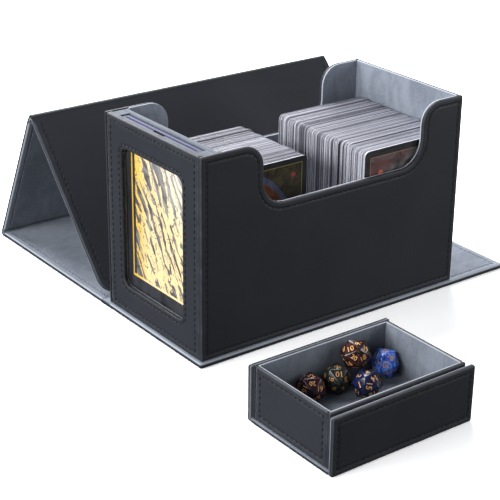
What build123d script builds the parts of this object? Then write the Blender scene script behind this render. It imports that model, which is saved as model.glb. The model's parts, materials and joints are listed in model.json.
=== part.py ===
from build123d import *
import math
import os

# A deck box for trading cards: a walled card box glued to the first panel of a folding cover, with a
# display pocket behind a window in one end, and a dice tray in a U-shaped sleeve beside it.
# Millimetres. The origin is at floor level under the middle of the card box, +X runs away from the
# window, +Y towards the cover's far hinge and +Z up. The cover stands folded as a tent behind the box.

# Layers, from the outer skin inwards.
LEATHER = 0.7
WALL_BOARD = 1.8
LINING = 0.5
WALL = LEATHER + WALL_BOARD + LINING
RIM_DROP = 0.6  # how far the lining stops below the leather rim

# Cover panels: leather below, board, suede above. Their hinge axes lie at mid thickness.
COVER_LEATHER = 0.8
COVER_BOARD = 1.6
COVER_SUEDE = 0.6
COVER = COVER_LEATHER + COVER_BOARD + COVER_SUEDE
COVER_X = (-90.0, 130.0)
EDGE_TURN = 0.8  # leather turned up round a board's edges
SUEDE_INSET = 1.3
HINGE_CLEAR = 3.0  # bare strip each side of a hinge axis
REST_GAP = 0.3  # between the cover and what it rests against
FRONT_MARGIN = 1.5  # how far the base stands out in front of the box
BACK_PITCH = 124.0
TOP_PITCH = 98.0
TOP_FOLD = 116.5
FLAP_FOOT = (50.0, COVER + REST_GAP)  # Y nearest the box and lowest Z of the flap's free edge
FLAP_SHIFT = 1.2  # the flap lies this far to the right of the other panels
FLAP_CORNER = 9.0

# Card box.
BOX_LENGTH = 177.0
BOX_WIDTH = 90.0
BOX_HEIGHT = 112.0
HALF_LENGTH = BOX_LENGTH / 2
HALF_WIDTH = BOX_WIDTH / 2
BOX_TOP = COVER + BOX_HEIGHT
BOTTOM_BOARD = 1.7
BOTTOM_TOP = COVER + BOTTOM_BOARD
FLOOR = BOTTOM_TOP + LINING

# Finger cutouts in both long walls: X of the sides, Z of the sill, and the corner radii.
CUT_X = (-49.5, 59.5)
CUT_SILL = 80.3
CUT_FLARE = 12.0
CUT_CORNER = 14.0

# Display pocket in the window end.
WINDOW_BOARD = 2.5
WINDOW_SIZE = (57.0, 79.8)
WINDOW_MIDDLE = (0.5, 59.3)  # Y and Z
WINDOW_RADIUS = 5.0
FILM = 0.3
FILM_MARGIN = 4.0
SLOT_X = (-85.0, -78.2)
SLOT_HALF_WIDTH = 35.6
POCKET_BOARD = 2.7
POCKET_X = (SLOT_X[1], SLOT_X[1] + POCKET_BOARD + 2 * LINING)

# Cards.
CARD_WIDTH = 63.5
CARD_HEIGHT = 88.9
CARD_CORNER = 3.0
CARD_THICKNESS = 0.35
FRONT_CARD = 0.5
HOLDER = (5.1, 70.4, 109.3)
HOLDER_CAVITY = 0.8
HOLDER_GAP = 0.3  # between the window's film and the holder, which stands against the window
HOLDER_FIT = 0.3  # room for the card at its sides and below
HOLDER_FACE = 1.0  # thickness that the notch leaves in front
HOLDER_NOTCH = (9.0, 6.0)

# Each deck: X of the cards' left edge, and Y of its first and last card.
DECKS = {"left": (-69.0, -25.0, 33.0), "right": (21.4, -41.0, 35.0)}
PACKET = 5.0  # the cards are grouped in packets about this thick
PACKET_GAP = 0.12
PACKET_SHIFT = 0.25  # how far a packet stands to one side, at most
PACKET_TURN = 2.4  # radians from one packet's shift to the next

# Dice tray and its sleeve.
SLEEVE_X = (-101.0, -13.0)
SLEEVE_Y = (-165.4, -101.4)
SLEEVE_TOP = 30.5
SLEEVE_LEATHER = 0.6
SLEEVE_BOARD = 1.4
SLEEVE_LINING = 0.5
SLEEVE_WALL = SLEEVE_LEATHER + SLEEVE_BOARD + SLEEVE_LINING
TRAY_X = (-100.2, -16.2)
TRAY_Y = (-161.9, -104.9)
TRAY_TOP = 31.5
TRAY_LEATHER = 0.6
TRAY_BOARD = 1.2
TRAY_BOTTOM_BOARD = 1.4
TRAY_PAD = 2.6
TRAY_LINING = 0.4

# Twenty-sided dice: X, Y, lift, the turn about Z and then the tilt about X. The brown die lies on the
# grey and the navy one and leans on the tray's back wall.
DIE_RADIUS = 8.3  # centre to corner
GOLDEN = (1 + math.sqrt(5)) / 2
FACE_REACH = DIE_RADIUS / math.sin(math.radians(72)) / math.sqrt(3)  # a face's middle to its corners
DIE_DOWN = math.sqrt(DIE_RADIUS**2 - FACE_REACH**2)  # centre to face, half its height as it lies
TRAY_FLOOR = SLEEVE_WALL + TRAY_LEATHER + TRAY_BOTTOM_BOARD + TRAY_PAD + TRAY_LINING
DICE = {
    "maroon_die": (-72.25, -114.3, 0, 0, 0),
    "grey_die": (-55.85, -114.3, 0, 0, 0),
    "navy_die": (-47.3, -127.1, 0, 34, 0),
    "blue_die": (-25.7, -115.5, 0, 30, 0),
    "brown_die": (-44.4, -114.4, 10.3, 62, 12),
}

# Hidden magnets that hold the flap shut: discs in pockets in the boards.
MAGNET_RADIUS = 5.0
MAGNET_THICKNESS = 1.0
MAGNET_FIT = 0.1
MAGNET_X = (-60.0, 5.0, 70.0)
MAGNET_FROM_EDGE = 12.0
WALL_MAGNET_Z = 26.5


def block(x, y, z):
    """A box between two corners, each axis given as (low, high)."""
    middle = [(low + high) / 2 for low, high in (x, y, z)]
    return Pos(*middle) * Box(x[1] - x[0], y[1] - y[0], z[1] - z[0])


def cutout(grow=0.0):
    """The finger cutout through both long walls, its outline moved outwards by grow."""
    left = CUT_X[0] - grow
    right = CUT_X[1] + grow
    sill = CUT_SILL - grow
    top = BOX_TOP - grow
    flare = CUT_FLARE - grow
    corner = CUT_CORNER + grow
    above = BOX_TOP + WALL
    outline = [
        Line((left - flare, above), (left - flare, top)),
        CenterArc((left - flare, top - flare), flare, 90, -90),
        Line((left, top - flare), (left, sill + corner)),
        CenterArc((left + corner, sill + corner), corner, 180, 90),
        Line((left + corner, sill), (right - corner, sill)),
        CenterArc((right - corner, sill + corner), corner, 270, 90),
        Line((right, sill + corner), (right, top - flare)),
        CenterArc((right + flare, top - flare), flare, 180, -90),
        Line((right + flare, top), (right + flare, above)),
        Line((right + flare, above), (left - flare, above)),
    ]
    face = make_face(Plane.XZ * (Curve() + outline))
    return extrude(face, amount=BOX_WIDTH, both=True)


def rounded_plate(width, height, thickness, radius):
    """A plate in the XZ plane with round corners, centred on the origin, its thickness along Y."""
    face = Plane.XZ * RectangleRounded(width, height, radius)
    return extrude(face, amount=thickness / 2, both=True)


def window_hole(grow=0.0):
    """The window through the end wall, its outline moved outwards by grow."""
    width = WINDOW_SIZE[0] + 2 * grow
    height = WINDOW_SIZE[1] + 2 * grow
    plate = Rot(0, 0, 90) * rounded_plate(width, height, 4 * WALL, WINDOW_RADIUS + grow)
    return Pos(-HALF_LENGTH, *WINDOW_MIDDLE) * plate


def magnets(z_low, thickness, radius, places):
    """Discs standing on z_low at each X, Y place."""
    disc = Cylinder(radius, thickness, align=(Align.CENTER, Align.CENTER, Align.MIN))
    return Part() + [Pos(x, y, z_low) * disc for x, y in places]


def long_wall(side):
    """Leather, board, lining and magnets of the front wall (side -1) or the back wall (side 1)."""
    outer = side * HALF_WIDTH
    skin = sorted((outer, side * (HALF_WIDTH - LEATHER - WALL_BOARD)))
    core = sorted((side * (HALF_WIDTH - LEATHER), side * (HALF_WIDTH - LEATHER - WALL_BOARD)))
    inner = sorted((side * (HALF_WIDTH - LEATHER - WALL_BOARD), side * (HALF_WIDTH - WALL)))
    envelope = block((-HALF_LENGTH, HALF_LENGTH), skin, (COVER, BOX_TOP)) - cutout()
    board_x = (-HALF_LENGTH + LEATHER, HALF_LENGTH - LEATHER)
    board = block(board_x, core, (COVER, BOX_TOP - LEATHER)) - cutout(LEATHER)
    lining_x = (POCKET_X[1], HALF_LENGTH - WALL)
    lining_z = (BOTTOM_TOP, BOX_TOP - RIM_DROP)
    lining = block(lining_x, inner, lining_z) - cutout(RIM_DROP)
    return {"leather": envelope - board, "board": board, "lining": lining}


def wall_magnets(radius):
    """Three discs inside the front wall's board, on its inner face."""
    y_high = -(HALF_WIDTH - LEATHER - WALL_BOARD)
    flat = magnets(0, MAGNET_THICKNESS, radius, [(x, 0) for x in MAGNET_X])
    return Pos(0, y_high, WALL_MAGNET_Z) * (Rot(90, 0, 0) * flat)


def end_wall():
    """Leather, board and lining of the plain end wall, between the long walls."""
    y = (-(HALF_WIDTH - LEATHER - WALL_BOARD), HALF_WIDTH - LEATHER - WALL_BOARD)
    inside = HALF_LENGTH - LEATHER - WALL_BOARD
    envelope = block((inside, HALF_LENGTH), y, (COVER, BOX_TOP))
    board = block((inside, HALF_LENGTH - LEATHER), y, (COVER, BOX_TOP - LEATHER))
    lining = block((HALF_LENGTH - WALL, inside), y, (BOTTOM_TOP, BOX_TOP - RIM_DROP))
    return {"leather": envelope - board, "board": board, "lining": lining}


def window_wall():
    """Leather, board and clear film of the end wall with the display window, its leather turned into the
    window's edge."""
    y = (-(HALF_WIDTH - LEATHER - WALL_BOARD), HALF_WIDTH - LEATHER - WALL_BOARD)
    inside = -HALF_LENGTH + LEATHER + WINDOW_BOARD
    envelope = block((-HALF_LENGTH, inside), y, (COVER, BOX_TOP)) - window_hole()
    board = block((-HALF_LENGTH + LEATHER, inside), y, (COVER, BOX_TOP - LEATHER)) - window_hole(LEATHER)
    film = block((inside, inside + FILM), *[
        (middle - size / 2 - FILM_MARGIN, middle + size / 2 + FILM_MARGIN)
        for middle, size in zip(WINDOW_MIDDLE, WINDOW_SIZE)
    ])
    return {"leather": envelope - board, "board": board, "film": film}


def pocket_wall():
    """The board between the display pocket and the cards, with suede over both faces and its top."""
    y = (-(HALF_WIDTH - LEATHER - WALL_BOARD), HALF_WIDTH - LEATHER - WALL_BOARD)
    top = BOX_TOP - RIM_DROP
    board_x = (POCKET_X[0] + LINING, POCKET_X[1] - LINING)
    board = block(board_x, y, (BOTTOM_TOP, top - LINING))
    return {"board": board, "lining": block(POCKET_X, y, (BOTTOM_TOP, top)) - board}


def pocket_spacers():
    """Two upright strips that narrow the pocket to the holder's width."""
    x = (SLOT_X[0] - FILM, SLOT_X[1])
    z = (BOTTOM_TOP, BOX_TOP - RIM_DROP)
    outer = HALF_WIDTH - LEATHER - WALL_BOARD
    return block(x, (-outer, -SLOT_HALF_WIDTH), z) + block(x, (SLOT_HALF_WIDTH, outer), z)


def box_bottom():
    """The bottom board between the walls, and the floor lining under the cards."""
    x = (-HALF_LENGTH + LEATHER + WINDOW_BOARD, HALF_LENGTH - LEATHER - WALL_BOARD)
    y = HALF_WIDTH - LEATHER - WALL_BOARD
    board = block(x, (-y, y), (COVER, BOTTOM_TOP))
    lining_x = (POCKET_X[1], HALF_LENGTH - WALL)
    lining_y = HALF_WIDTH - WALL
    return board, block(lining_x, (-lining_y, lining_y), (BOTTOM_TOP, FLOOR))


def card_holder():
    """A rigid clear holder, open at the top, with a thumb notch in the plate behind the window."""
    low = BOTTOM_TOP
    x_middle = SLOT_X[0] + HOLDER_GAP + HOLDER[0] / 2
    body_x = (x_middle - HOLDER[0] / 2, x_middle + HOLDER[0] / 2)
    body = block(body_x, (-HOLDER[1] / 2, HOLDER[1] / 2), (low, low + HOLDER[2]))
    cavity_y = CARD_WIDTH / 2 + HOLDER_FIT
    cavity_x = (x_middle - HOLDER_CAVITY / 2, x_middle + HOLDER_CAVITY / 2)
    card_low = WINDOW_MIDDLE[1] - CARD_HEIGHT / 2
    body -= block(cavity_x, (-cavity_y, cavity_y), (card_low - HOLDER_FIT, low + HOLDER[2] + 1))
    notch_y = HOLDER_NOTCH[0] / 2
    notch_z = (low + HOLDER[2] - HOLDER_NOTCH[1], low + HOLDER[2] + 1)
    body -= block((body_x[0] + HOLDER_FACE, cavity_x[1]), (-notch_y, notch_y), notch_z)
    plate = rounded_plate(CARD_WIDTH, CARD_HEIGHT, CARD_THICKNESS, CARD_CORNER)
    card = Pos(x_middle, 0, WINDOW_MIDDLE[1]) * (Rot(0, 0, 90) * plate)
    return body, card


def deck(left, first, last):
    """A row of cards on edge as packets, and the card in front that shows its face."""
    count = round((last - first - FRONT_CARD) / PACKET)
    step = (last - first - FRONT_CARD) / count
    z = FLOOR + CARD_HEIGHT / 2
    packet = rounded_plate(CARD_WIDTH, CARD_HEIGHT, step - PACKET_GAP, CARD_CORNER)
    x_middle = left + CARD_WIDTH / 2
    packets = Part()
    for index in range(count):
        shift = PACKET_SHIFT * math.sin(PACKET_TURN * index)
        y = first + FRONT_CARD + step * (index + 0.5)
        packets += Pos(x_middle + shift, y, z) * packet
    front = rounded_plate(CARD_WIDTH, CARD_HEIGHT, FRONT_CARD, CARD_CORNER)
    return packets, Pos(x_middle, first + FRONT_CARD / 2, z) * front


def sheet(x, y, z, corner):
    """A block whose two corners at the far end of Y have that radius."""
    solid = block(x, y, z)
    if corner == 0:
        return solid
    return fillet(solid.edges().filter_by(Axis.Z).group_by(Axis.Y)[-1], corner)


def panel(start, end, corner=0.0, magnet_places=()):
    """Leather, board and suede of a cover panel that lies from Y start to Y end at mid height 0."""
    low = -COVER / 2
    board_low = low + COVER_LEATHER
    board_high = board_low + COVER_BOARD
    board_x = (COVER_X[0] + EDGE_TURN, COVER_X[1] - EDGE_TURN)
    board_y = (start + EDGE_TURN, end - EDGE_TURN)
    board = sheet(board_x, board_y, (board_low, board_high), max(0.0, corner - EDGE_TURN))
    skin = sheet(COVER_X, (start, end), (low, board_high), corner) - board
    suede_x = (COVER_X[0] + SUEDE_INSET, COVER_X[1] - SUEDE_INSET)
    suede_y = (start + SUEDE_INSET, end - SUEDE_INSET)
    suede_z = (board_high, board_high + COVER_SUEDE)
    suede = sheet(suede_x, suede_y, suede_z, max(0.0, corner - SUEDE_INSET))
    if magnet_places:
        pocket_low = board_high - MAGNET_THICKNESS
        board -= magnets(pocket_low, COVER, MAGNET_RADIUS + MAGNET_FIT, magnet_places)
    return {"leather": skin, "board": board, "suede": suede}


def hinge_strip():
    """The leather strip along a hinge, round about the hinge's own axis at the origin."""
    length = COVER_X[1] - COVER_X[0] - 2 * EDGE_TURN
    middle = (COVER_X[0] + COVER_X[1]) / 2
    return Pos(middle, 0, 0) * (Rot(0, 90, 0) * Cylinder(COVER / 2, length))


def cover_layout():
    """Each hinge axis as (Y, Z), the angle of each panel from flat, and the flap's pitch."""
    base_axis = (HALF_WIDTH + COVER / 2 + REST_GAP, COVER / 2)
    top_axis = (base_axis[0] + BACK_PITCH, base_axis[1])
    lean = math.radians(TOP_FOLD)
    ridge_y = top_axis[0] + TOP_PITCH * math.cos(lean)
    ridge_z = top_axis[1] + TOP_PITCH * math.sin(lean)
    # The flap's middle plane ends half a thickness inside both limits of its foot.
    slope = math.atan2(ridge_z - FLAP_FOOT[1], ridge_y - FLAP_FOOT[0])
    for _ in range(8):
        foot_y = FLAP_FOOT[0] + COVER / 2 * math.sin(slope)
        foot_z = FLAP_FOOT[1] + COVER / 2 * math.cos(slope)
        slope = math.atan2(ridge_z - foot_z, ridge_y - foot_y)
    pitch = math.hypot(ridge_y - foot_y, ridge_z - foot_z)
    flap_angle = 180 + math.degrees(slope)
    return base_axis, top_axis, (ridge_y, ridge_z), flap_angle, pitch


def sleeve():
    """The U-shaped sleeve: leather, boards and lining of its bottom and its two upright flaps."""
    bottom_z = (0, SLEEVE_WALL)
    front = (SLEEVE_Y[0], SLEEVE_Y[0] + SLEEVE_WALL)
    back = (SLEEVE_Y[1] - SLEEVE_WALL, SLEEVE_Y[1])
    x = SLEEVE_X
    board_x = (x[0] + SLEEVE_LEATHER, x[1] - SLEEVE_LEATHER)
    upright_z = (SLEEVE_WALL, SLEEVE_TOP - SLEEVE_LEATHER)
    front_y = (front[0] + SLEEVE_LEATHER, front[1] - SLEEVE_LINING)
    back_y = (back[0] + SLEEVE_LINING, back[1] - SLEEVE_LEATHER)
    bottom_y = (front_y[0], back_y[1])
    bottom_board = block(board_x, bottom_y, (SLEEVE_LEATHER, SLEEVE_LEATHER + SLEEVE_BOARD))
    front_board = block(board_x, front_y, upright_z)
    back_board = block(board_x, back_y, upright_z)
    lining_bottom_y = (front[1] - SLEEVE_LINING, back[0] + SLEEVE_LINING)
    bottom_lining_z = (SLEEVE_LEATHER + SLEEVE_BOARD, SLEEVE_WALL)
    lining_z = (SLEEVE_WALL, SLEEVE_TOP - 2 * SLEEVE_LEATHER)
    lining = block(board_x, lining_bottom_y, bottom_lining_z)
    lining += block(board_x, (front[1] - SLEEVE_LINING, front[1]), lining_z)
    lining += block(board_x, (back[0], back[0] + SLEEVE_LINING), lining_z)
    shell = block(x, SLEEVE_Y, (0, SLEEVE_TOP))
    shell -= block((x[0] - 1, x[1] + 1), (front[1], back[0]), (SLEEVE_WALL, SLEEVE_TOP + 1))
    leather = shell - bottom_board - front_board - back_board - lining
    return {
        "sleeve_leather": leather,
        "sleeve_bottom_board": bottom_board,
        "sleeve_front_board": front_board,
        "sleeve_back_board": back_board,
        "sleeve_lining": lining,
    }


def tray():
    """The dice tray: leather outside, five boards, a foam pad and a lining."""
    low = SLEEVE_WALL
    board_low = low + TRAY_LEATHER
    pad_low = board_low + TRAY_BOTTOM_BOARD
    lining_low = pad_low + TRAY_PAD
    wall = TRAY_LEATHER + TRAY_BOARD + TRAY_LINING
    x_skin = (TRAY_X[0] + TRAY_LEATHER, TRAY_X[1] - TRAY_LEATHER)
    y_skin = (TRAY_Y[0] + TRAY_LEATHER, TRAY_Y[1] - TRAY_LEATHER)
    x_board = (x_skin[0] + TRAY_BOARD, x_skin[1] - TRAY_BOARD)
    y_board = (y_skin[0] + TRAY_BOARD, y_skin[1] - TRAY_BOARD)
    x_open = (TRAY_X[0] + wall, TRAY_X[1] - wall)
    y_open = (TRAY_Y[0] + wall, TRAY_Y[1] - wall)
    board_top = TRAY_TOP - TRAY_LEATHER
    upright = (pad_low, board_top)
    bottom_board = block(x_skin, y_skin, (board_low, pad_low))
    long_boards = block(x_skin, (y_skin[0], y_board[0]), upright)
    long_boards += block(x_skin, (y_board[1], y_skin[1]), upright)
    end_boards = block((x_skin[0], x_board[0]), y_board, upright)
    end_boards += block((x_board[1], x_skin[1]), y_board, upright)
    boards = block(x_skin, y_skin, (board_low, board_top)) - block(x_board, y_board, upright)
    leather = block(TRAY_X, TRAY_Y, (low, TRAY_TOP)) - boards
    leather -= block(x_board, y_board, (pad_low, TRAY_TOP + 1))
    lining = block(x_board, y_board, (lining_low, board_top))
    lining -= block(x_open, y_open, (TRAY_FLOOR, TRAY_TOP + 1))
    return {
        "tray_leather": leather,
        "tray_bottom_board": bottom_board,
        "tray_long_boards": long_boards,
        "tray_end_boards": end_boards,
        "tray_floor_pad": block(x_board, y_board, (pad_low, lining_low)),
        "tray_lining": lining,
    }


def die():
    """A twenty-sided die lying on one face, centred on the origin."""
    waist_reach = GOLDEN * FACE_REACH
    waist_z = math.sqrt(DIE_RADIUS**2 - waist_reach**2)
    layers = (
        (-DIE_DOWN, FACE_REACH, 0),
        (-waist_z, waist_reach, 60),
        (waist_z, waist_reach, 0),
        (DIE_DOWN, FACE_REACH, 60),
    )
    corners = []
    for z, reach, turn in layers:
        for step in range(3):
            angle = math.radians(turn + 120 * step)
            corners.append(Vector(reach * math.cos(angle), reach * math.sin(angle), z))
    return ConvexPolyhedron(corners)


def build_box(parts):
    """Adds the card box and everything glued to it."""
    for name, side in (("front", -1), ("back", 1)):
        layers = long_wall(side)
        if side < 0:
            layers["board"] -= wall_magnets(MAGNET_RADIUS + MAGNET_FIT)
        parts[f"{name}_wall_leather"] = layers["leather"]
        parts[f"{name}_wall_board"] = layers["board"]
        parts[f"{name}_wall_lining"] = layers["lining"]
    parts["front_wall_magnets"] = wall_magnets(MAGNET_RADIUS)
    for layer, solid in end_wall().items():
        parts[f"end_wall_{layer}"] = solid
    for layer, solid in window_wall().items():
        parts[f"window_wall_{layer}"] = solid
    for layer, solid in pocket_wall().items():
        parts[f"pocket_wall_{layer}"] = solid
    parts["pocket_spacers"] = pocket_spacers()
    parts["bottom_board"], parts["floor_lining"] = box_bottom()


def build_contents(parts):
    """Adds the cards and the holder with the card on display."""
    parts["card_holder"], parts["display_card"] = card_holder()
    for name, (left, first, last) in DECKS.items():
        parts[f"{name}_deck_cards"], parts[f"{name}_deck_front_card"] = deck(left, first, last)


def build_cover(parts):
    """Adds the four panels of the cover and the three strips that they hinge on."""
    base_axis, top_axis, ridge, flap_angle, flap_pitch = cover_layout()
    base_start = -HALF_WIDTH - FRONT_MARGIN
    flap_y = flap_pitch - MAGNET_FROM_EDGE
    flap_magnets = [(x, flap_y) for x in MAGNET_X]
    panels = (
        ("base_panel", 0, base_axis, 0, panel(base_start - base_axis[0], -HINGE_CLEAR)),
        ("back_panel", 0, base_axis, 0, panel(HINGE_CLEAR, BACK_PITCH - HINGE_CLEAR)),
        ("top_panel", 0, top_axis, TOP_FOLD, panel(HINGE_CLEAR, TOP_PITCH - HINGE_CLEAR)),
        ("flap", FLAP_SHIFT, ridge, flap_angle, panel(HINGE_CLEAR, flap_pitch, FLAP_CORNER, flap_magnets)),
    )
    for name, shift, axis, angle, layers in panels:
        for layer, solid in layers.items():
            parts[f"{name}_{layer}"] = Pos(shift, *axis) * (Rot(angle, 0, 0) * solid)
    pocket_low = -COVER / 2 + COVER_LEATHER + COVER_BOARD - MAGNET_THICKNESS
    discs = magnets(pocket_low, MAGNET_THICKNESS, MAGNET_RADIUS, flap_magnets)
    parts["flap_magnets"] = Pos(FLAP_SHIFT, *ridge) * (Rot(flap_angle, 0, 0) * discs)
    for name, axis in (("base", base_axis), ("back", top_axis), ("ridge", ridge)):
        parts[f"{name}_hinge_strip"] = Pos(0, *axis) * hinge_strip()
    print("hinge axes", base_axis, top_axis, ridge)
    print("flap fold", flap_angle - TOP_FOLD, "flap pitch", flap_pitch)


def build_dice(parts):
    """Adds the dice that lie in the tray."""
    for name, (x, y, lift, turn, tilt) in DICE.items():
        turned = Rot(tilt, 0, 0) * (Rot(0, 0, turn) * die())
        parts[name] = Pos(x, y, TRAY_FLOOR + DIE_DOWN + lift) * turned


def main():
    """Builds every sub-part and writes one STEP file for each."""
    parts = {}
    build_box(parts)
    build_contents(parts)
    build_cover(parts)
    parts.update(sleeve())
    parts.update(tray())
    build_dice(parts)
    os.makedirs("parts", exist_ok=True)
    for name, solid in parts.items():
        export_step(solid, f"parts/{name}.step")
    print(len(parts), "parts")


main()
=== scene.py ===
import json
import math
import random

import bmesh
import bpy
from mathutils import Matrix, Vector


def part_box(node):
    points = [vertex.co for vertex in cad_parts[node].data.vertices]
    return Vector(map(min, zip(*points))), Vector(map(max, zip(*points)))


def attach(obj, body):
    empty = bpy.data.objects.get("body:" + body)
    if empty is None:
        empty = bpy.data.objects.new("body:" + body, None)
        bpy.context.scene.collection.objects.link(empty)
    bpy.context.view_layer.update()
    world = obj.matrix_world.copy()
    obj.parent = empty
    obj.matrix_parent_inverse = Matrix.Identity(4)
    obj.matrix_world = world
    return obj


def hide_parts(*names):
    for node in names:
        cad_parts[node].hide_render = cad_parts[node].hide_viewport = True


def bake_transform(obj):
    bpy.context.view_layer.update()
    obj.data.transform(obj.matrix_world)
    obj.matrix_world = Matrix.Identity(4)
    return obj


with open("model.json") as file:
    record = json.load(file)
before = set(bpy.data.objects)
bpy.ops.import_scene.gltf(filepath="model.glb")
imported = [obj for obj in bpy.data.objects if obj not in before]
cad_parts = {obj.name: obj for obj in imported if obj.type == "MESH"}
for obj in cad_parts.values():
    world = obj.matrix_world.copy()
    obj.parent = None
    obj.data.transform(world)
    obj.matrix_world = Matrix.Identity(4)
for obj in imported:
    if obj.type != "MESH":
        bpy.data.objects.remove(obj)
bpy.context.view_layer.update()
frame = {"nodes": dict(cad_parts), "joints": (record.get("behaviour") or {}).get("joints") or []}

# Sizes are in millimetres until mesh_piece() turns them into metres.
MM = 0.001
UP = Vector((0, 0, 1))

# Finger cutouts of the long walls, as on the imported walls.
CUT_X = (-49.5, 59.5)
CUT_SILL = 80.3
CUT_FLARE = 12.0
CUT_CORNER = 14.0
RIM_DROP = 0.6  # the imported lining's rim lies this much below the leather's
RIM_STEP = 0.12  # and the suede piece's rim this much
LINING_SHARE = 1.0  # how much of a wall's rim the suede takes
RIM_HIGHLIGHT_REACH = 0.25  # how far in from a rim the suede is painted paler, as a painted highlight

# Display window, inside the film that covers it.
FILM_MARGIN = 4.0
WINDOW_RADIUS = 5.0
WINDOW_SEAM = 2.5  # from the window's edge to the seam round it
# How pale the painted highlight is on the rim of the suede's window.
WINDOW_RIM_HIGHLIGHT = 0.15
WINDOW_STEP = 0.25  # how much wider and higher the suede's window is
WINDOW_FOOT_STEP = 0.1

# Seams: how far they lie from an edge, and one stitch.
WALL_SEAM = 3.4
PANEL_SEAM = 4.2
TRAY_SEAM = 3.2
STITCH = 2.4
STITCH_PITCH = 3.5
STITCH_RADIUS = 0.3
STITCH_LEAN = 0.14  # sideways, as a share of its length
STITCH_SIDES = 6
# Its sections: the share of its length, of its radius, and the height over the seam.
STITCH_SECTIONS = (
    (-0.5, 0.35, -0.14), (-0.34, 0.9, 0.06), (0.0, 1.0, 0.12), (0.34, 0.9, 0.06), (0.5, 0.35, -0.14),
)
STITCH_SUNK = 0.16  # how far a seam lies below the leather's face
# Section of a stitched groove, from the plate's middle outwards: across the seam, depth, and the mark that
# paints it paler, partly wear and partly painted highlight.
GROOVE = (
    (1.6, 0.0, 0.0), (0.9, 0.0, 0.0), (0.42, 0.2, 0.0), (0.0, 0.36, 0.0),
    (-0.42, 0.2, 0.1), (-1.0, -0.05, 0.3), (-1.6, -0.08, 0.3),
)
ROUND_STEPS = 5
RIM_STEPS = 3
ARC_STEPS = 6

# Cover: its thickness, the skin's share of it, and how far the soft hinges reach.
COVER = 3.0
SKIN_SHARE = 2.0
FLAP_CORNER = 9.0
PANEL_CORNER = 1.6
HINGE_REACH = 4.2
HINGE_OVERLAP = 0.9
HINGE_ROWS = 22
BEND_HALVINGS = 40  # of the interval that holds a point's bend
HINGE_INSET = 0.35  # how far a soft hinge's ends lie inside the panels' rounded sides
HINGE_LEATHER = (-1.49, 0.45)  # its levels over the cover's middle plane
HINGE_SUEDE = (0.45, 1.38)

# Tray, and its sleeve.
TRAY_RIM = 0.35  # how far the tray's lining reaches into the rim of its walls
TRAY_WALL = 1.8
TRAY_LINING = 0.5
TRAY_FOOT = 2.0  # the foot of the lining over the tray's
SLEEVE_CORNER = 1.2
SLEEVE_LINING = 0.5
SLEEVE_NAP = 0.3  # the suede's share of the sleeve's thickness
CUSHION = (44, 30)  # its columns and rows
CUSHION_SUNK = 0.6  # its underside below the foam's top
CUSHION_RISE = 1.0
CUSHION_CROWN = 0.35

# Cards and their holder.
CARD = (63.5, 88.9)
CARD_RADIUS = 3.0
CARD_PITCH = 0.72
CARD_THICKNESS = 0.42
CARD_BEVEL = 0.12
FIRST_TONE = 0.6
PACKET_CHANCE = 0.16  # that a card starts a new packet, with a shift, rise and tone of its own
PACKET_SHIFT = (-0.55, 0.55)
PACKET_RISE = (0.0, 0.7)
PACKET_TONE = (0.3, 0.95)
CARD_RISE = (-0.12, 0.12)  # how far each card strays from its packet
CARD_SHIFT = (-0.15, 0.15)
CARD_TONE = (-0.65, 0.55)
HOLDER_CORNER = 1.5
HOLDER_GAP = 0.2  # between the display card and the plates
RAIL_PLAY = 0.4  # to the rails beside it
FOOT_PLAY = 0.3  # to the bar under it
NOTCH_HALF = 4.5  # of the thumb notch's width
NOTCH_DEPTH = 6.0
NOTCH_FLARE = 1.0
NOTCH_BEND = 2.0

# Suede: its dark and light patches, its fibres, and the paler colour painted on its rims as a painted
# highlight.
SUEDE_COLOURS = ((0.094, 0.109, 0.136), (0.154, 0.173, 0.206), (0.218, 0.236, 0.273), (0.27, 0.29, 0.33))

# Twenty-sided dice: the turn about Z, the tilt about X after it, and how far the numbering is shifted.
DIE_TURNS = {
    "maroon_die": (0.0, 0.0, 0),
    "grey_die": (0.0, 0.0, 7),
    "navy_die": (34.0, 0.0, 3),
    "blue_die": (30.0, 0.0, 12),
    "brown_die": (62.0, 12.0, 5),
}
# Their resins: the deep, middle and pale colours, and how much the deep one takes.
RESINS = {
    "maroon": ((0.003, 0.002, 0.004), (0.045, 0.005, 0.014), (0.05, 0.03, 0.075), 0.53),
    "grey": ((0.004, 0.005, 0.005), (0.022, 0.028, 0.024), (0.15, 0.16, 0.16), 0.5),
    "navy": ((0.003, 0.004, 0.008), (0.005, 0.010, 0.055), (0.022, 0.036, 0.12), 0.5),
    "blue": ((0.005, 0.030, 0.28), (0.08, 0.19, 0.62), (0.36, 0.48, 0.78), 0.46),
    "brown": ((0.003, 0.003, 0.003), (0.045, 0.010, 0.010), (0.08, 0.035, 0.025), 0.54),
}
LEVEL_DIE = "maroon_die"  # a die that lies on a face, so its height gives the radius of all five
GOLDEN = (1 + math.sqrt(5)) / 2
FACE_REACH = 1 / (math.sin(math.radians(72)) * math.sqrt(3))  # for a radius of 1
FACE_DOWN = math.sqrt(1 - FACE_REACH**2)
DIE_BEVEL = 0.34
NUMERAL = (3.1, 2.9)  # the most that a number may be wide and high
NUMERAL_LIFT = 0.012

# Stage, in metres and degrees.
FLOOR_REACH = 4.0
FLOOR_STEPS = 8
FLOOR_Z = -0.0002
CAMERA_PLACE = (-0.4653, -0.5871, 0.3552)
CAMERA_ANGLES = (-36.92, 23.61, 0.64)  # azimuth, elevation and roll
CAMERA_LENS = 104.0
ROOM_COLOUR = (0.92, 0.96, 1.0, 1)
ROOM_STRENGTH = 0.18
# Area lights: the place, the point each one looks at, its size and its power.
SOFTBOXES = (
    ("top_softbox", (0.15, 1.05, 1.05), (0, 0, 0), (1.4, 1.2), 92),
    ("left_softbox", (-1.32, -0.05, 0.50), (0, 0, 0.06), (1.1, 0.7), 42),
    ("front_fill", (0.72, -0.58, 0.27), (0, 0, 0.05), (0.6, 0.5), 7),
)


# ---------------------------------------------------------------- materials


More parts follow.
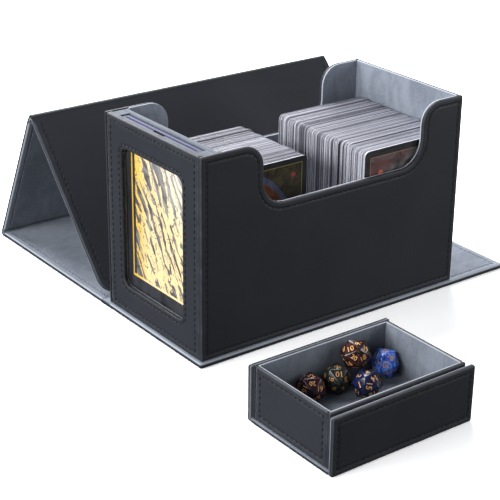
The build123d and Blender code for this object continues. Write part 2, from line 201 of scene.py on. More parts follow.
class Shader:
    """A Principled material, with short calls for the nodes that the surfaces share."""

    def __init__(self, name, **values):
        self.material = bpy.data.materials.new(name)
        self.material.use_nodes = True
        tree = self.material.node_tree
        self.nodes = tree.nodes
        self.links = tree.links
        self.surface = self.nodes["Principled BSDF"]
        self.where = self.node("TexCoord").outputs["Object"]
        self.put(**values)

    def put(self, **values):
        """Sets or links the surface's sockets, named with underscores."""
        for socket, value in values.items():
            self.fill(self.surface.inputs[socket.replace("_", " ")], value)

    def finish(self, colour, roughness, normal, **values):
        """Fills the surface's last sockets, and gives the material."""
        self.put(Base_Color=colour, Roughness=roughness, Normal=normal, **values)
        return self.material

    def fill(self, socket, value):
        """Links a socket to another, or sets its value, a colour by its three parts."""
        if isinstance(value, bpy.types.NodeSocket):
            self.links.new(value, socket)
        elif socket.type == "RGBA":
            socket.default_value = (*value, 1)
        else:
            socket.default_value = value

    def node(self, kind, inputs=None, **settings):
        node = self.nodes.new("ShaderNode" + kind)
        for key, value in settings.items():
            setattr(node, key, value)
        for key, value in (inputs or {}).items():
            self.fill(node.inputs[key], value)
        return node

    def texture(self, kind, where, inputs, **settings):
        return self.node("Tex" + kind, {"Vector": where, **inputs}, **settings).outputs["Fac"]

    def noise(self, size, detail=3.0, stretch=(1, 1, 1), distortion=0.0, rough=0.5):
        """Noise whose features are about size millimetres across."""
        where = self.node("Mapping", {"Vector": self.where, "Scale": stretch}).outputs["Vector"]
        inputs = {"Scale": 1 / (size * MM), "Detail": detail, "Roughness": rough, "Distortion": distortion}
        return self.texture("Noise", where, inputs)

    def cells(self, size, feature="F1"):
        inputs = {"Vector": self.where, "Scale": 1 / (size * MM)}
        return self.node("TexVoronoi", inputs, feature=feature).outputs["Distance"]

    def math(self, operation, first, second=0.0, third=0.0):
        return self.node("Math", {0: first, 1: second, 2: third}, operation=operation).outputs[0]

    def times(self, first, second):
        return self.math("MULTIPLY", first, second)

    def apart(self, first, second):
        return self.math("ABSOLUTE", self.math("SUBTRACT", first, second))

    def span(self, value, low, high, to_low=0.0, to_high=1.0):
        """value from low to high, carried smoothly to to_low and to_high."""
        inputs = {"Value": value, "From Min": low, "From Max": high, "To Min": to_low, "To Max": to_high}
        return self.node("MapRange", inputs, interpolation_type="SMOOTHSTEP").outputs["Result"]

    def mix(self, factor, first, second):
        return self.node("Mix", {0: factor, 6: first, 7: second}, data_type="RGBA").outputs[2]

    def mark(self, name="wear_and_highlight"):
        return self.node("Attribute", attribute_name=name).outputs["Fac"]

    def place(self):
        """The x, y and z of a point, in millimetres."""
        parts = self.node("SeparateXYZ", {"Vector": self.where}).outputs
        return [self.times(part, 1 / MM) for part in parts]

    def facing(self, axis, low, high):
        """1 where the normal's part along an axis is under low, and 0 where it is over high."""
        normal = self.node("TexCoord").outputs["Normal"]
        along = self.node("SeparateXYZ", {"Vector": normal}).outputs[axis]
        return self.span(along, low, high, 1, 0)

    def bump(self, height, depth, strength=1.0, under=None):
        """A bump depth millimetres high, over another bump if one is given."""
        inputs = {"Height": height, "Distance": depth * MM, "Strength": strength}
        if under is not None:
            inputs["Normal"] = under
        return self.node("Bump", inputs).outputs["Normal"]


def leatherette():
    """Black embossed leatherette: a fine pebble grain, soft waves, and paler rounded edges, partly wear and
    partly painted highlight.
    """
    s = Shader("black_leatherette", Specular_IOR_Level=0.15)
    broad = s.noise(38, 4)
    patch = s.noise(6, 3)
    base = s.mix(s.span(broad, 0.35, 0.68), (0.0142, 0.0160, 0.0202), (0.0160, 0.0180, 0.0226))
    # Painted highlight and wear: the rounded edges are painted paler, in patches.
    worn_and_highlit = s.times(s.mark(), s.span(patch, 0.3, 0.75, 0.25, 1.0))
    pebble = s.times(s.cells(0.75, "SMOOTH_F1"), -1.0)
    grain = s.math("MULTIPLY_ADD", s.noise(0.35, 2), 0.35, pebble)
    return s.finish(
        s.mix(worn_and_highlit, base, (0.042, 0.046, 0.055)),
        s.span(patch, 0.25, 0.8, 0.52, 0.62),
        s.bump(broad, 0.2, 0.3, s.bump(grain, 0.05, 0.55)),
    )


def suede(name, share):
    """Blue-grey suede cloth, its colour scaled by share, which is lower in the copies that stand for painted
    shade: brushed patches, short fibres and a soft sheen.
    """
    s = Shader(name, Specular_IOR_Level=0.1)
    s.put(Sheen_Weight=0.15, Sheen_Roughness=0.45, Sheen_Tint=(0.80, 0.86, 1.0))
    dark, light, fibres, rim = ([share * part for part in colour] for colour in SUEDE_COLOURS)
    brushed = s.noise(9, 5, (1.0, 1.0, 0.45), 0.8, 0.62)
    fibre = s.noise(0.7, 4, (1.0, 1.0, 0.5))
    nap = s.math("MULTIPLY_ADD", s.noise(34, 3), 0.45, s.times(brushed, 0.55))
    base = s.mix(s.span(nap, 0.36, 0.64), dark, light)
    base = s.mix(s.span(fibre, 0.3, 0.75, 0.0, 0.35), base, fibres)
    return s.finish(
        # Painted highlight: the rims are painted paler.
        s.mix(s.times(s.mark(), 0.8), base, rim),
        0.92,
        s.bump(nap, 0.35, 0.5, s.bump(fibre, 0.16, 0.8)),
    )


def one_noise(name, noise, colours, blend, roughness, bump, **values):
    """A material whose colour, roughness and bump all follow one noise."""
    s = Shader(name, **values)
    grain = s.noise(*noise)
    colour = s.mix(s.span(grain, *blend) if blend else grain, *colours)
    return s.finish(colour, s.span(grain, 0.3, 0.7, *roughness), s.bump(grain, *bump))


def thread(name, colour):
    """Waxed sewing thread: twisted strands, a little shine."""
    colours = ([part * 0.5 for part in colour], [part * 1.5 for part in colour])
    twist = (0.3, 2, (1, 1, 1), 1.5)
    return one_noise(name, twist, colours, None, (0.5, 0.75), (0.08, 0.8), Specular_IOR_Level=0.3)


def holder_edge():
    """The holder's edges, where the plastic gathers light and shows its violet tint."""
    colours = ((0.045, 0.047, 0.090), (0.088, 0.090, 0.150))
    streak = (5, 4, (1, 1, 0.3), 0.5)
    return one_noise("holder_edge", streak, colours, None, (0.55, 0.7), (0.1, 0.3), Specular_IOR_Level=0.05)


def gold_ink():
    """Gold ink in the dice's numerals, thinner in places."""
    colours = ((0.42, 0.20, 0.07), (0.66, 0.37, 0.15))
    shine = {"Metallic": 0.25, "Specular_IOR_Level": 0.3}
    return one_noise("numeral_gold", (0.8, 3), colours, (0.3, 0.75), (0.28, 0.45), (0.03, 0.4), **shine)


def greyboard():
    """Recycled board with flecks and pressed fibres."""
    s = Shader("greyboard", Specular_IOR_Level=0.2)
    fleck = s.noise(1.1, 5, (1, 1, 1), 0.4, 0.7)
    cloud = s.noise(14, 3)
    base = s.mix(cloud, (0.33, 0.31, 0.28), (0.42, 0.40, 0.365))
    return s.finish(
        s.mix(s.span(fleck, 0.58, 0.72), base, (0.20, 0.19, 0.18)),
        s.span(cloud, 0.3, 0.7, 0.82, 0.94),
        s.bump(fleck, 0.08, 0.7),
    )


def clear_film():
    """The clear film of the window: nearly invisible, with faint smears and a gloss."""
    s = Shader("clear_film", IOR=1.45, Coat_Weight=0.3)
    smear = s.noise(16, 4, (1, 1, 0.4), 1.2)
    s.put(Alpha=s.span(smear, 0.3, 0.8, 0.015, 0.06))
    return s.finish((0.22, 0.24, 0.27), s.span(smear, 0.3, 0.8, 0.06, 0.16), s.bump(smear, 0.12, 0.3))


def holder_clear():
    """The faces of the clear card holder, tinted over the card's top edge."""
    s = Shader("holder_clear", IOR=1.5, Specular_IOR_Level=0.3)
    haze = s.noise(22, 4, (1, 1, 1), 0.6)
    card_top = corners("display_card")[1].z
    tinted = s.span(s.place()[2], card_top + 3.0, card_top + 9.0)
    return s.finish(
        s.mix(tinted, (0.25, 0.26, 0.32), (0.062, 0.066, 0.125)),
        s.span(haze, 0.3, 0.8, 0.05, 0.12),
        s.bump(haze, 0.1, 0.3),
        Alpha=s.math("MULTIPLY_ADD", tinted, 0.6, s.span(haze, 0.3, 0.8, 0.01, 0.03)),
    )


def card_stock():
    """Sleeved card edges: a tone for each card, faint scuffs, and painted light that makes the sides facing
    -X, towards the left lamp, paler.
    """
    s = Shader("card_stock", Specular_IOR_Level=0.4)
    tone = s.mark("tone")
    scuff = s.noise(3.5, 4, (0.5, 6.0, 0.5))
    base = s.mix(tone, (0.035, 0.037, 0.054), (0.385, 0.390, 0.445))
    base = s.mix(s.span(scuff, 0.35, 0.8, 0.0, 0.4), base, (0.21, 0.213, 0.262))
    # Painted light: the sides that face -X are paler.
    painted_side_light = s.mix(tone, (0.10, 0.10, 0.13), (0.84, 0.85, 0.94))
    return s.finish(
        s.mix(s.facing(0, -0.95, -0.6), base, painted_side_light),
        s.span(scuff, 0.3, 0.7, 0.35, 0.55),
        s.bump(scuff, 0.05, 0.4),
    )


def steel():
    """Plated magnet discs, stained in places."""
    s = Shader("magnet_steel", Metallic=1.0)
    stain = s.noise(2.5, 4)
    return s.finish(
        s.mix(stain, (0.42, 0.42, 0.44), (0.66, 0.66, 0.68)),
        s.span(stain, 0.3, 0.7, 0.22, 0.45),
        s.bump(s.noise(0.5, 2), 0.03, 0.5),
    )


def foam():
    """Dark open-cell foam sheet."""
    s = Shader("foam", Specular_IOR_Level=0.1)
    pores = s.cells(0.9)
    colour = s.mix(s.span(pores, 0.1, 0.5), (0.03, 0.03, 0.034), (0.09, 0.09, 0.10))
    return s.finish(colour, 0.95, s.bump(pores, 0.3, 0.8))


def resin(colour):
    """Swirled resin: two clouds of colour folded through a dark one under a glossy skin."""
    s = Shader(f"{colour}_resin", IOR=1.5, Coat_Weight=0.1, Coat_Roughness=0.15, Specular_IOR_Level=0.3)
    deep, mid, pale, share = RESINS[colour]
    veil = 4.5
    swirl = s.noise(veil, 4, (1, 1, 1), 2.6, 0.55)
    wisp = s.noise(veil * 0.55, 5, (1, 1, 1.6), 3.4, 0.6)
    base = s.mix(s.span(swirl, share - 0.1, share + 0.12), deep, mid)
    return s.finish(
        s.mix(s.span(wisp, 0.56, 0.74), base, pale),
        s.span(wisp, 0.3, 0.8, 0.16, 0.28),
        s.bump(swirl, 0.05, 0.3),
    )


def inside(s, across, up, margin, soft=0.15):
    """1 on a card's face further than margin / 2 from its edges, falling to 0 over soft millimetres."""
    shares = []
    for place_on_card, size in ((across, CARD[0] - margin), (up, CARD[1] - margin)):
        shares.append(s.span(s.math("ABSOLUTE", place_on_card), size / 2 - soft, size / 2 + soft, 1, 0))
    return s.times(*shares)


def card_plane(s, node, flat_axis):
    """Across and up on a card's face from its middle, and 1 where the surface faces the front."""
    low, high = corners(node)
    middle = (low + high) / 2
    x, y, z = s.place()
    across = s.math("SUBTRACT", x, middle.x) if flat_axis else s.math("SUBTRACT", middle.y, y)
    return across, s.math("SUBTRACT", z, middle.z), s.facing(flat_axis, -0.7, -0.5)


def display_print():
    """The card on display: gold foil tongues over a dark ground, and a gold line at the side and the foot."""
    s = Shader("display_card_print", Specular_IOR_Level=0.2)
    across, up, front = card_plane(s, "display_card", 0)
    drift = s.math("MULTIPLY_ADD", up, 0.55, across)
    flow = s.node("CombineXYZ", {"X": s.times(drift, 0.060), "Y": s.times(up, 0.030), "Z": 2.3}).outputs[0]
    waves = {"Scale": 0.75, "Distortion": 9.0, "Detail": 3.0, "Detail Scale": 1.5, "Detail Roughness": 0.55}
    tongues = s.texture("Wave", flow, waves, wave_type="BANDS", bands_direction="X", wave_profile="SIN")
    masses = s.texture("Noise", flow, {"Scale": 1.3, "Detail": 4.0, "Roughness": 0.5, "Distortion": 1.6})
    fine = s.texture("Noise", flow, {"Scale": 3.0, "Detail": 1.0, "Roughness": 0.5, "Distortion": 1.4})
    foil = s.span(s.math("MULTIPLY_ADD", masses, 1.8, s.times(tongues, 0.42)), 1.02, 1.07)
    foil = s.times(foil, s.span(s.apart(fine, 0.5), 0.008, 0.030))
    side_line, foot_line = -CARD[0] / 2 + 3.6, -CARD[1] / 2 + 10.0
    field = s.times(s.span(across, side_line + 2.6, side_line + 3.4), s.span(up, foot_line, foot_line + 0.8))
    side = s.span(s.apart(across, side_line), 0.45, 0.7, 1, 0)
    side = s.times(side, s.span(up, foot_line - 0.6, foot_line - 0.5))
    foot = s.span(s.apart(up, foot_line), 0.55, 0.85, 1, 0)
    foot = s.times(foot, s.span(across, side_line - 0.6, side_line - 0.5))
    lines = s.times(s.math("MAXIMUM", side, foot), inside(s, across, up, 4.0))
    gold = s.times(s.math("MAXIMUM", s.times(foil, field), lines), front)
    corner = s.math("ADD", across, up)
    tint = s.mix(s.span(across, side_line, -10.0), (0.70, 0.42, 0.020), (0.78, 0.60, 0.30))
    tint = s.mix(s.span(corner, 8.0, 56.0, 0.0, 0.7), tint, (0.80, 0.75, 0.64))
    ground = s.mix(s.span(fine, 0.35, 0.75), (0.045, 0.043, 0.042), (0.24, 0.225, 0.21))
    ground = s.mix(s.span(corner, 10.0, 60.0, 0.0, 0.6), ground, (0.46, 0.43, 0.44))
    return s.finish(
        s.mix(gold, s.mix(field, (0.006, 0.006, 0.008), ground), tint),
        s.span(fine, 0.3, 0.7, 0.3, 0.45),
        s.bump(gold, 0.03, 0.6),
        Metallic=s.times(gold, 0.1),
    )


def bordered(s, plane, margin, line, picture):
    """A front card's colours: a picture in a dark border with a fine line, and pale on its other faces."""
    across, up, front = plane
    border = s.mix(inside(s, across, up, margin), (0.007, 0.007, 0.009), line)
    return s.mix(front, (0.5, 0.5, 0.56), s.mix(inside(s, across, up, margin + 0.8), border, picture))


def spotted(s, right, up, low, high, picture, colour):
    """A picture with a spot of a colour where right and up, squared and added, are under low."""
    square = s.math("ADD", s.math("POWER", right, 2.0), s.math("POWER", up, 2.0))
    return s.mix(s.span(square, low, high, 1, 0), picture, colour)


def left_print():
    """The left deck's front card: a dark border, an olive field, a plain diamond and four red dots."""
    s = Shader("left_deck_front_card_print", Specular_IOR_Level=0.2, Coat_Weight=0.05)
    plane = card_plane(s, "left_deck_front_card", 1)
    right, high = (s.math("ABSOLUTE", part) for part in plane[:2])
    mottle = s.noise(5, 5, (1, 1, 1), 0.8, 0.65)
    picture = s.mix(s.span(mottle, 0.3, 0.75), (0.008, 0.006, 0.003), (0.046, 0.035, 0.009))
    halves = ((right, 27.0), (high, 38.5))
    diamond = s.math("ADD", *(s.math("POWER", s.math("DIVIDE", part, half), 1.5) for part, half in halves))
    ring = s.mix(s.span(mottle, 0.3, 0.7), (0.035, 0.042, 0.075), (0.07, 0.08, 0.13))
    medallion = s.mix(s.span(mottle, 0.3, 0.7), (0.055, 0.017, 0.007), (0.12, 0.042, 0.016))
    picture = s.mix(s.span(diamond, 0.98, 1.02, 1, 0), picture, ring)
    picture = s.mix(s.span(diamond, 0.84, 0.88, 1, 0), picture, medallion)
    dots = [s.math("SUBTRACT", part, size) for part, size in ((right, 22.5), (high, 35.0))]
    picture = spotted(s, *dots, 1.6, 2.6, picture, (0.22, 0.03, 0.02))
    return s.finish(
        bordered(s, plane, 6.4, (0.16, 0.14, 0.03), picture),
        s.span(mottle, 0.3, 0.7, 0.3, 0.5),
        s.bump(mottle, 0.02, 0.4),
    )


def right_print():
    """The right deck's front card: a dark border round smoky bands, with two dull red spots."""
    s = Shader("right_deck_front_card_print", Specular_IOR_Level=0.45, Coat_Weight=0.25)
    plane = card_plane(s, "right_deck_front_card", 1)
    smoke = s.noise(11, 5, (0.6, 1, 1.6), 1.4, 0.6)
    picture = s.mix(s.span(smoke, 0.3, 0.7), (0.010, 0.011, 0.013), (0.12, 0.105, 0.105))
    picture = s.mix(s.span(s.noise(16, 3, (1, 1, 1.3), 0.5), 0.5, 0.66), picture, (0.085, 0.030, 0.028))
    right = s.math("SUBTRACT", s.math("ABSOLUTE", plane[0]), 20.0)
    picture = spotted(s, right, s.math("SUBTRACT", plane[1], 30.5), 1.8, 4.0, picture, (0.42, 0.09, 0.06))
    return s.finish(
        bordered(s, plane, 8.0, (0.20, 0.12, 0.07), picture),
        s.span(smoke, 0.3, 0.7, 0.26, 0.45),
        s.bump(smoke, 0.02, 0.4),
    )


def floor_paint():
    """The pale studio floor, which glows a little."""
    s = Shader("studio_floor", Roughness=0.8, Specular_IOR_Level=0.1)
    colour = s.mix(s.noise(300, 2), (0.90, 0.90, 0.91), (0.92, 0.92, 0.93))
    s.put(Base_Color=colour, Emission_Strength=0.2, Emission_Color=(1, 1, 1))
    return s.material


# ---------------------------------------------------------------- mesh tools


def corners(node):
    """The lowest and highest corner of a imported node, in millimetres."""
    low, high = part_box(node)
    return low / MM, high / MM


def place(origin, u, v):
    """The frame whose axes are u, v and the height h over both, as a matrix."""
    u = Vector(u).normalized()
    v = Vector(v).normalized()
    turn = Matrix((u, v, u.cross(v))).transposed().to_4x4()
    return Matrix.Translation(Vector(origin)) @ turn


def arc(x, y, radius, start, sweep):
    """Points on an arc, its angles in degrees."""
    angles = [math.radians(start + sweep * step / ARC_STEPS) for step in range(ARC_STEPS + 1)]
    return [(x + radius * math.cos(angle), y + radius * math.sin(angle)) for angle in angles]


def rectangle(low, high, radius=0.8):
    """outline(inset) of a rectangle between two (u, v) corners, with its corners rounded."""

    def outline(inset):
        r = max(radius - inset, 0.05)
        left, bottom = low[0] + inset + r, low[1] + inset + r
        right, top = high[0] - inset - r, high[1] - inset - r
        bends = ((right, bottom, 270), (right, top, 0), (left, top, 90), (left, bottom, 180))
        return [point for x, y, start in bends for point in arc(x, y, r, start, 90)]

    return outline


def notched(low, high, cut, sill, flare, bend, radius=0.8):
    """outline(inset) of a rectangle with a rounded cutout in its top edge, cut being its left and right."""

    def outline(inset):
        r = max(radius - inset, 0.05)
        left, bottom = low[0] + inset, low[1] + inset
        right, top = high[0] - inset, high[1] - inset
        outer, inner = flare - inset, bend + inset
        cut_left, cut_right, floor = cut[0] - inset, cut[1] + inset, sill - inset
        bends = (
            (right - r, bottom + r, r, 270, 90),
            (right - r, top - r, r, 0, 90),
            (cut_right + outer, top - outer, outer, 90, 90),
            (cut_right - inner, floor + inner, inner, 0, -90),
            (cut_left + inner, floor + inner, inner, 270, -90),
            (cut_left - outer, top - outer, outer, 0, 90),
            (left + r, top - r, r, 90, 90),
            (left + r, bottom + r, r, 180, 90),
        )
        return [point for bend_of_edge in bends for point in arc(*bend_of_edge)]

    return outline


def wrapped(outer, inner, seam_inset=0.0, rounding=1.0, rim=0.35):
    """Steps (inset, height, edge mark) over a plate from the middle of its outer face, across a stitched seam
    and the rounded edge, to the middle of its inner face, lowest height first. The edge mark paints the
    rounded edge paler, partly wear and partly painted highlight."""
    inwards = 1 if inner > outer else -1
    if seam_inset:
        steps = [(seam_inset + across, outer + inwards * depth, wear_and_highlight) for across, depth, wear_and_highlight in GROOVE]
    else:
        steps = [(rounding + 0.9, outer, 0.0), (rounding + 0.3, outer, 0.0)]
    for step in range(ROUND_STEPS + 1):
        angle = math.pi / 2 * step / ROUND_STEPS
        inset = rounding * (1 - math.sin(angle))
        steps.append((inset, outer + inwards * rounding * (1 - math.cos(angle)), math.sin(2 * angle) ** 2))
    for step in range(RIM_STEPS + 1):
        angle = math.pi / 2 * step / RIM_STEPS
        steps.append((rim * (1 - math.cos(angle)), inner - inwards * rim * (1 - math.sin(angle)), 0.0))
    steps.append((rim + 0.5, inner, 0.0))
    return steps if inwards > 0 else steps[::-1]


def brushed(steps, rim_highlight=0.0):
    """Steps without the paler edge mark, apart from that much painted highlight on the rim."""
    return [(inset, height, rim_highlight if inset < RIM_HIGHLIGHT_REACH else 0.0) for inset, height, _ in steps]


def panel_outline(low, high, hinges, corner):
    """outline(inset) of a cover panel between two (u, v) corners. Its sides named in hinges, start or end,
    run into a soft hinge, so they keep their place and have square corners."""

    def outline(inset):
        r = max(corner - inset, 0.05)
        left, right = low[0] + inset, high[0] - inset
        start = low[1] if "start" in hinges else low[1] + inset
        end = high[1] if "end" in hinges else high[1] - inset
        if "start" in hinges:
            first, last = [(right, start)], [(left, start)]
        else:
            first, last = arc(right - r, start + r, r, 270, 90), arc(left + r, start + r, r, 180, 90)
        if "end" in hinges:
            return first + [(right, end), (left, end)] + last
        return first + arc(right - r, end - r, r, 0, 90) + arc(left + r, end - r, r, 90, 90) + last

    return outline


def hinge_steps(points, low, high, hinges):
    """The steps of a panel's outline that lie on a hinge."""
    levels = [level for level, side in ((low[1], "start"), (high[1], "end")) if side in hinges]
    ends = points[1:] + points[:1]
    return [step for step, (a, b) in enumerate(zip(points, ends)) if a[1] == b[1] and a[1] in levels]


def free_runs(points, steps):
    """The stretches of an outline between its hinge steps."""
    runs = []
    for step, following in zip(steps, steps[1:] + [steps[0] + len(points)]):
        runs.append([points[index % len(points)] for index in range(step + 1, following + 1)])
    return runs


def loft(rings, wear_and_highlight, loop=False, cut=()):
    """A closed skin over rings of equal length, as (points, faces, marks), one mark for each point. At each
    step in cut, one flat face closes the skin."""
    size = len(rings[0])
    faces = []
    for ring in range(len(rings) if loop else len(rings) - 1):
        here = ring * size
        there = (ring + 1) % len(rings) * size
        for step in range(size):
            if step not in cut:
                after = (step + 1) % size
                faces.append((here + step, here + after, there + after, there + step))
    for step in cut:
        near, far = ([ring * size + side for ring in range(len(rings))] for side in (step, (step + 1) % size))
        faces.append(tuple(far + near[::-1]))
    if not loop:
        faces.append(tuple(reversed(range(size))))
        faces.append(tuple(range((len(rings) - 1) * size, len(rings) * size)))
    points = [point for ring in rings for point in ring]
    return points, faces, [value for value in wear_and_highlight for _ in range(size)]


def grid_faces(columns, rows):
    """The faces of a grid of points that run row by row."""
    size = columns + 1
    starts = [row * size + column for row in range(rows) for column in range(columns)]
    return [(start, start + 1, start + size + 1, start + size) for start in starts]


def plate(outline, steps, where, cut=()):
    """A plate with that outline, whose edges and seams follow the steps."""
    rings = [[where @ Vector((u, v, height)) for u, v in outline(inset)] for inset, height, _ in steps]
    return loft(rings, [wear_and_highlight for _, _, wear_and_highlight in steps], cut=cut)


def framed(outer, edge, inner, mouth, where):
    """A plate with a hole: edge gives the steps over its outer edge, and mouth those over the hole's."""
    steps = [(outer, inset, level, wear_and_highlight) for inset, level, wear_and_highlight in edge]
    steps += [(inner, -inset, level, wear_and_highlight) for inset, level, wear_and_highlight in reversed(mouth)]
    rings = [[where @ Vector((u, v, level)) for u, v in outline(inset)] for outline, inset, level, _ in steps]
    return loft(rings, [wear_and_highlight for _, _, _, wear_and_highlight in steps], loop=True)


def joined(shapes):
    """Several shapes as one."""
    points, faces, wear_and_highlight = [], [], []
    for more_points, more_faces, more_wear in shapes:
        start = len(points)
        points += more_points
        faces += [tuple(start + index for index in face) for face in more_faces]
        wear_and_highlight += more_wear
    return points, faces, wear_and_highlight


def linked(name, data):
    """A new object of a mesh, light or camera, put in the scene."""
    item = bpy.data.objects.new(name, data)
    bpy.context.scene.collection.objects.link(item)
    return item


def mesh_piece(name, shape, look, body=None, stands_for=(), sharp=32, mark="wear_and_highlight"):
    """A Blender object of a shape, riding on its body in place of the nodes it stands for. look is its
    material and its slot; the slot is not used."""
    points, faces, values = shape
    material, slot = look
    mesh = bpy.data.meshes.new(name)
    mesh.from_pydata([tuple(Vector(point) * MM) for point in points], [], faces)
    mesh.validate()
    attribute = mesh.attributes.new(mark, "FLOAT", "POINT")
    attribute.data.foreach_set("value", values)
    mesh.shade_smooth()
    mesh.set_sharp_from_angle(angle=math.radians(sharp))
    mesh.materials.append(material)
    piece = linked(name, mesh)
    if body:
        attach(piece, body)
    if stands_for:
        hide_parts(*stands_for)
    return piece


def stitch(middle, along, up):
    """One stitch: a short spindle that dives into the leather at both ends."""
    along = (along + along.cross(up) * STITCH_LEAN).normalized()
    side = along.cross(up)
    rings = []
    for share, girth, lift in STITCH_SECTIONS:
        centre = middle + along * (share * STITCH) + up * lift
        angles = [math.tau * step / STITCH_SIDES for step in range(STITCH_SIDES)]
        reaches = [side * math.cos(angle) + up * math.sin(angle) for angle in angles]
        rings.append([centre + reach * (STITCH_RADIUS * girth) for reach in reaches])
    return loft(rings, [0.0] * len(rings))


def seam(path, where, height, closed=True, up=1):
    """Stitches at an even pitch along a path of (u, v) points, at a height over the plate's own plane."""
    ends = path[1:] + path[:1] if closed else path[1:]
    spans = [(Vector(a), Vector(b)) for a, b in zip(path, ends)]
    total = sum((b - a).length for a, b in spans)
    count = max(1, round(total / STITCH_PITCH))
    shapes = []
    travelled = 0.0
    due = total / count / 2
    turn = where.to_3x3()
    for a, b in spans:
        length = (b - a).length
        while due <= travelled + length and length > 0:
            spot = a.lerp(b, (due - travelled) / length)
            direction = (b - a) / length
            middle = where @ Vector((*spot, height))
            shapes.append(stitch(middle, turn @ Vector((*direction, 0)), turn @ Vector((0, 0, up))))
            due += total / count
        travelled += length
    return joined(shapes)


def stitched_plate(name, outline, steps, where, inset, height, mats, body, stands_for):
    """A leather plate, and the seam round its outer face at that inset and height."""
    mesh_piece(f"{name}_skin", plate(outline, steps, where), mats["leather"], body, stands_for)
    stitches = seam(outline(inset), where, height - STITCH_SUNK)
    mesh_piece(f"{name}_stitching", stitches, mats["thread"], body)


# ---------------------------------------------------------------- the card box


def wall_frame(node, outward):
    """A wall's frame, u along it, v up from its foot and h outwards from its inner face, and its sizes."""
    low, high = corners(node)
    outward = Vector(outward)
    size = high - low
    depth = abs(size.dot(outward))
    origin = (low + high) / 2 - outward * depth / 2
    origin.z = low.z
    u = UP.cross(outward)
    return place(origin, u, UP), abs(size.dot(u)), size.z, depth


def wall_outline(node, outward, grow=0.0, rise=0.0):
    """The outline of a wall or its lining, with the finger cutout if it is a long one."""
    where, width, height, _ = wall_frame(node, outward)
    low, high = (-width / 2, 0), (width / 2, height + rise)
    direction = UP.cross(Vector(outward)).x
    if not direction:
        return rectangle(low, high)
    cut = sorted((x - where.translation.x) * direction for x in CUT_X)
    sill = CUT_SILL - where.translation.z - grow
    return notched(low, high, (cut[0] - grow, cut[1] + grow), sill, CUT_FLARE - grow, CUT_CORNER + grow)


def lining_steps(rim_highlight=1.0):
    """The steps over the suede of a wall, its rim painted that pale as a painted highlight."""
    return brushed(wrapped(0, LINING_SHARE, 0, 0.3, 0.1), rim_highlight)


def lined_wall(side, outward, mats):
    """The leather, seam and lining of the front, back or plain end wall."""
    leather, lining = f"{side}_wall_leather", f"{side}_wall_lining"
    where, _, _, depth = wall_frame(leather, outward)
    lining_where, _, _, lining_depth = wall_frame(lining, outward)
    steps = wrapped(depth, LINING_SHARE - lining_depth, WALL_SEAM, 1.0, 0.2)
    outline = wall_outline(leather, outward)
    stitched_plate(f"{side}_wall", outline, steps, where, WALL_SEAM, depth, mats, "case", [leather])
    outline = wall_outline(lining, outward, RIM_STEP, RIM_DROP - RIM_STEP)
    shape = plate(outline, lining_steps(), lining_where)
    mesh_piece(f"{side}_wall_suede", shape, mats["suede"], "case", [lining])


def window_wall(mats):
    """The end wall with the window, seamed round its edge and round the window."""
    where, width, height, depth = wall_frame("window_wall_leather", (-1, 0, 0))
    low, high = corners("window_wall_film")
    # u runs along -Y on this wall.
    left, right = -(high.y - FILM_MARGIN), -(low.y + FILM_MARGIN)
    foot = low.z + FILM_MARGIN - where.translation.z
    top = high.z - FILM_MARGIN - where.translation.z
    outer = rectangle((-width / 2, 0), (width / 2, height))
    window = rectangle((left, foot), (right, top), WINDOW_RADIUS)
    edge = wrapped(depth, LINING_SHARE, WALL_SEAM, 1.0, 0.2)
    skin = framed(outer, edge, window, brushed(wrapped(depth, LINING_SHARE, WINDOW_SEAM, 0.9, 0.2)), where)
    mesh_piece("window_wall_skin", skin, mats["leather"], "case", ["window_wall_leather"])
    lining_low = (left - WINDOW_STEP, foot - WINDOW_FOOT_STEP)
    lining_high = (right + WINDOW_STEP, top + WINDOW_STEP)
    lining_window = rectangle(lining_low, lining_high, WINDOW_RADIUS)
    lining = framed(outer, lining_steps(WINDOW_RIM_HIGHLIGHT)[1:], lining_window, lining_steps(0.0)[1:], where)
    mesh_piece("window_wall_suede", lining, mats["pocket_suede"], "case")
    rows = [seam(path, where, depth - STITCH_SUNK) for path in (outer(WALL_SEAM), window(-WINDOW_SEAM))]
    mesh_piece("window_wall_stitching", joined(rows), mats["thread"], "case")


def pocket_wall(mats):
    """The suede-wrapped wall between the display pocket and the cards."""
    where, width, height, depth = wall_frame("pocket_wall_lining", (-1, 0, 0))
    outline = rectangle((-width / 2, 0), (width / 2, height))
    shape = plate(outline, brushed(wrapped(depth, 0, 0, 1.0, 1.0)), where)
    mesh_piece("pocket_wall_suede", shape, mats["pocket_suede"], "case", ["pocket_wall_lining"])


def holder(mats):
    """The clear card holder: two plates, the frame between them and the notch for a thumb."""
    low, high = corners("card_holder")
    card_low, card_high = corners("display_card")
    front_face, back_face = card_low.x - HOLDER_GAP, card_high.x + HOLDER_GAP
    front, back, between = (place((x, 0, low.z), (0, -1, 0), UP) for x in (front_face, high.x, back_face))
    half, height = (high.y - low.y) / 2, high.z - low.z
    sill = height - NOTCH_DEPTH
    ends = ((-half, 0), (half, height))
    notch = notched(*ends, (-NOTCH_HALF, NOTCH_HALF), sill, NOTCH_FLARE, NOTCH_BEND, HOLDER_CORNER)
    whole = rectangle(*ends, HOLDER_CORNER)
    plates = [
        plate(notch, wrapped(front_face - low.x, 0, 0, 0.3, 0.3), front),
        plate(whole, wrapped(high.x - back_face, 0, 0, 0.3, 0.3), back),
    ]
    piece = mesh_piece("holder_plates", joined(plates), mats["holder_clear"], "display", ["card_holder"])
    piece.data.materials.append(mats["holder_edge"][0])
    for polygon in piece.data.polygons:
        polygon.material_index = 0 if abs(polygon.normal.x) > 0.9 else 1
    inner = CARD[0] / 2 + RAIL_PLAY
    bars = (
        ((-half, 0), (-inner, height)),
        ((inner, 0), (half, height)),
        ((-inner, 0), (inner, card_low.z - low.z - FOOT_PLAY)),
    )
    steps = wrapped(back_face - front_face, 0, 0, 0.1, 0.1)
    frame_bars = [plate(rectangle(*bar, 0.5), steps, between) for bar in bars]
    mesh_piece("holder_frame", joined(frame_bars), mats["holder_edge"], "display")


